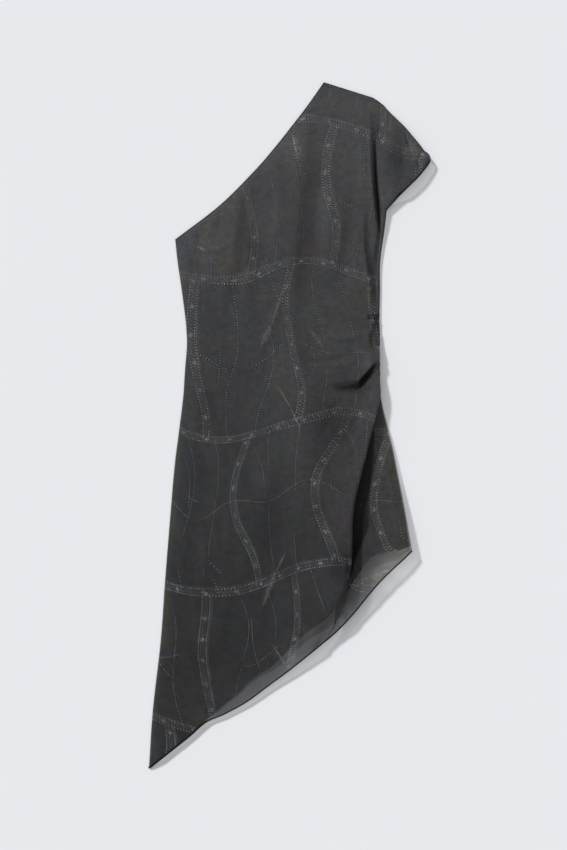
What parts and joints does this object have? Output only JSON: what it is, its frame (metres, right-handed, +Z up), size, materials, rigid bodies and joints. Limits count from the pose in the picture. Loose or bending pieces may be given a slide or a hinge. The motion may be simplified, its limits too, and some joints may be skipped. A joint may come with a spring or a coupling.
{
  "type": "one-shoulder dress",
  "caption": "One-shoulder sheer mesh dress with a cap sleeve, a side gather and a slanted hem, laid flat over its dark lining.",
  "frame": {"origin": "middle of the footprint of the laid dress, on the surface that it lies on", "axes": "+Y from the hem's point towards the shoulder, +X towards the gathered side and the cap sleeve, +Z up from the surface, out of the dress's front"},
  "size_m": [0.547, 1.329, 0.0351],
  "materials": {
    "sheer_outer": "fine sheer stretch mesh, washed black with a faint light line print",
    "dark_lining": "smooth opaque black knit"
  },
  "bodies": {
    "root": {"front": "sheer_outer", "front_lining": "dark_lining", "back": "sheer_outer"}
  },
  "joints": []
}
